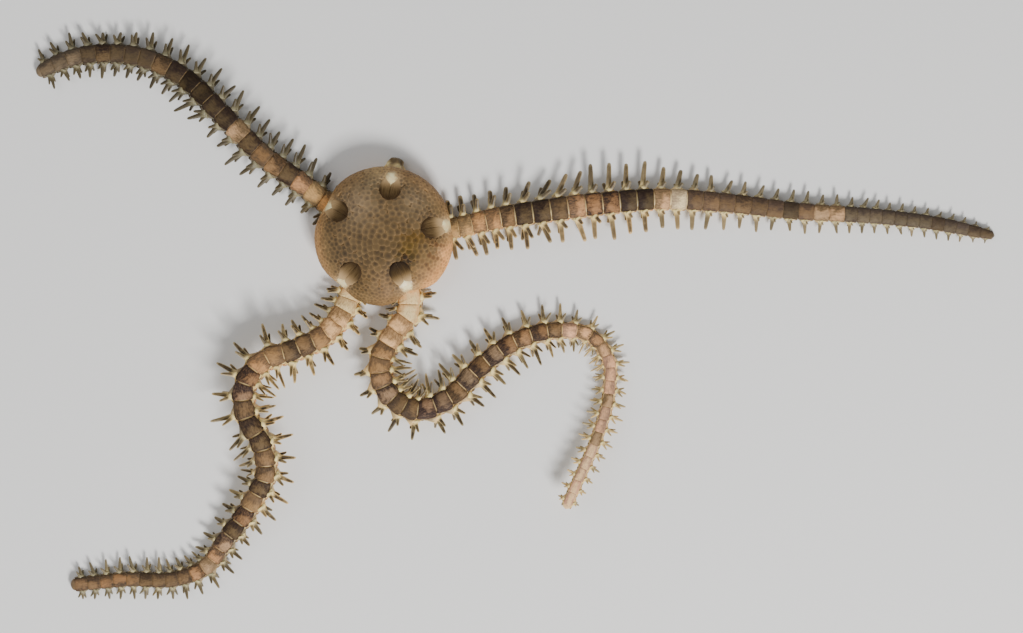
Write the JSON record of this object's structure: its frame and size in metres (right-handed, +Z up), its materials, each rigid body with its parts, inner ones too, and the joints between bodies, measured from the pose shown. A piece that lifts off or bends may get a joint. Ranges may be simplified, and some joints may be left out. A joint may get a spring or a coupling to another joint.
{
  "type": "brittle star",
  "caption": "Brittle star at life size: a scaly round disc with slender, banded, spiny arms spread and curled on the floor, one arm cast off at its root.",
  "frame": {"origin": "middle of the animal's footprint on the floor that it lies on", "axes": "+X from the disc along the long straight arm, +Y across it, +Z up from the floor"},
  "size_m": [0.106, 0.0632, 0.0059],
  "materials": {
    "disc_skin": "fine overlapping scales, satin, tan-brown with paler edge",
    "arm_plates": "satin chalky plates, brown with cream seams and pale bands",
    "arm_spines": "blunt chalky spines, brown-grey core with translucent cream edges",
    "jaw_plates": "satin cream plates"
  },
  "bodies": {
    "root": {"disc": "disc_skin", "mouth_frame": "jaw_plates", "arm_right_base": "arm_plates", "arm_right_middle": "arm_plates", "arm_right_outer": "arm_plates", "arm_right_tip": "arm_plates", "arm_left_base": "arm_plates", "arm_left_middle": "arm_plates", "arm_left_tip": "arm_plates", "arm_curled_base": "arm_plates", "arm_curled_loop": "arm_plates", "arm_curled_crook": "arm_plates", "arm_curled_rise": "arm_plates", "arm_curled_bow": "arm_plates", "arm_curled_tip": "arm_plates", "arm_bent_base": "arm_plates", "arm_bent_elbow": "arm_plates", "arm_bent_shin": "arm_plates", "arm_bent_ankle": "arm_plates", "arm_bent_tip": "arm_plates"}
  },
  "joints": []
}
